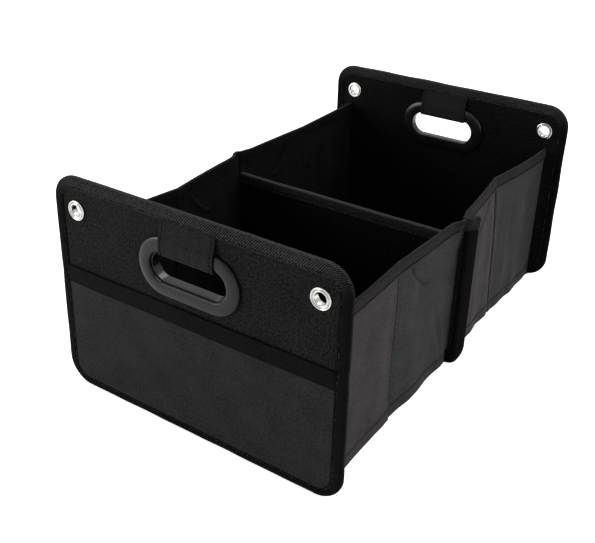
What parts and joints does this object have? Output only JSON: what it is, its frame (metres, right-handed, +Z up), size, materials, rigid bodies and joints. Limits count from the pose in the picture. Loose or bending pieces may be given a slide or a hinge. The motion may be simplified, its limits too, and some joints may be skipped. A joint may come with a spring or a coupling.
{
  "type": "folding storage box",
  "caption": "Open two-compartment cloth box with stiff bound end panels, oblong hand grips, metal eyelets and a floor that folds flat.",
  "frame": {"origin": "on the ground under the middle of the divider", "axes": "+X to the right side wall seen from the pocket end, +Y from the pocket end to the plain end, +Z up"},
  "size_m": [0.32, 0.5096, 0.225],
  "materials": {
    "cloth": "coated woven cloth",
    "wall_cloth": "coated woven cloth, slightly warm",
    "lining": "matt woven lining",
    "tape": "twill binding tape",
    "ribbed_tape": "ribbed webbing",
    "board": "stiff sheet",
    "grip_plastic": "satin moulded",
    "eyelet_metal": "polished",
    "label_satin": "satin ribbon"
  },
  "bodies": {
    "root": {"divider_board": "board", "divider_front_cloth": "lining", "divider_rear_cloth": "lining", "divider_top_tape": "tape", "fin_binding_right": "tape", "fin_binding_left": "tape", "front_inner_hinge_tape": "tape", "rear_inner_hinge_tape": "tape", "front_wall_left": "wall_cloth", "front_hem_left": "ribbed_tape", "front_wall_right": "wall_cloth", "front_hem_right": "ribbed_tape", "rear_wall_left": "wall_cloth", "rear_hem_left": "ribbed_tape", "rear_wall_right": "wall_cloth", "rear_hem_right": "ribbed_tape"},
    "front_floor_inner": {"front_floor_inner_sleeve": "lining", "front_floor_inner_board": "board"},
    "front_floor_outer": {"front_floor_outer_sleeve": "lining", "front_floor_outer_board": "board"},
    "front_panel": {"front_panel_board": "board", "front_panel_cloth": "cloth", "front_panel_lining": "lining", "front_panel_binding": "tape", "front_outer_hinge_tape": "tape", "front_grip_outer": "grip_plastic", "front_grip_inner": "grip_plastic", "front_grip_strap": "ribbed_tape", "front_eyelet_left": "eyelet_metal", "front_eyelet_washer_left": "eyelet_metal", "front_eyelet_right": "eyelet_metal", "front_eyelet_washer_right": "eyelet_metal", "front_pocket": "cloth", "front_pocket_band": "ribbed_tape"},
    "rear_floor_inner": {"rear_floor_inner_sleeve": "lining", "rear_floor_inner_board": "board"},
    "rear_floor_outer": {"rear_floor_outer_sleeve": "lining", "rear_floor_outer_board": "board"},
    "rear_panel": {"rear_panel_board": "board", "rear_panel_cloth": "cloth", "rear_panel_lining": "lining", "rear_panel_binding": "tape", "rear_outer_hinge_tape": "tape", "rear_grip_outer": "grip_plastic", "rear_grip_inner": "grip_plastic", "rear_grip_strap": "ribbed_tape", "rear_eyelet_left": "eyelet_metal", "rear_eyelet_washer_left": "eyelet_metal", "rear_eyelet_right": "eyelet_metal", "rear_eyelet_washer_right": "eyelet_metal", "rear_label": "label_satin"}
  },
  "joints": [
    {"name": "front_floor_fold", "type": "hinge", "parent": "root", "child": "front_floor_inner", "pos_m": [0, -0.00745, 0.00095], "axis": [-1, 0, 0], "range_deg": [0, 88], "deforming": ["front_wall_left", "front_wall_right", "front_hem_left", "front_hem_right"]},
    {"name": "front_floor_crease", "type": "hinge", "parent": "front_floor_inner", "child": "front_floor_outer", "pos_m": [0, -0.12273, 0.00095], "axis": [-1, 0, 0], "range_deg": [-176, 0]},
    {"name": "front_panel_hinge", "type": "hinge", "parent": "front_floor_outer", "child": "front_panel", "pos_m": [0, -0.238, 0.00095], "axis": [-1, 0, 0], "range_deg": [0, 88]},
    {"name": "rear_floor_fold", "type": "hinge", "parent": "root", "child": "rear_floor_inner", "pos_m": [0, 0.00745, 0.00095], "axis": [1, 0, 0], "range_deg": [0, 88], "deforming": ["rear_wall_left", "rear_wall_right", "rear_hem_left", "rear_hem_right"]},
    {"name": "rear_floor_crease", "type": "hinge", "parent": "rear_floor_inner", "child": "rear_floor_outer", "pos_m": [0, 0.12273, 0.00095], "axis": [1, 0, 0], "range_deg": [-176, 0]},
    {"name": "rear_panel_hinge", "type": "hinge", "parent": "rear_floor_outer", "child": "rear_panel", "pos_m": [0, 0.238, 0.00095], "axis": [1, 0, 0], "range_deg": [0, 88]}
  ],
  "couplings": [
    {"joint": "front_floor_crease", "follows": "front_floor_fold", "ratio": -2},
    {"joint": "front_panel_hinge", "follows": "front_floor_fold", "ratio": 1},
    {"joint": "rear_floor_crease", "follows": "rear_floor_fold", "ratio": -2},
    {"joint": "rear_panel_hinge", "follows": "rear_floor_fold", "ratio": 1}
  ]
}
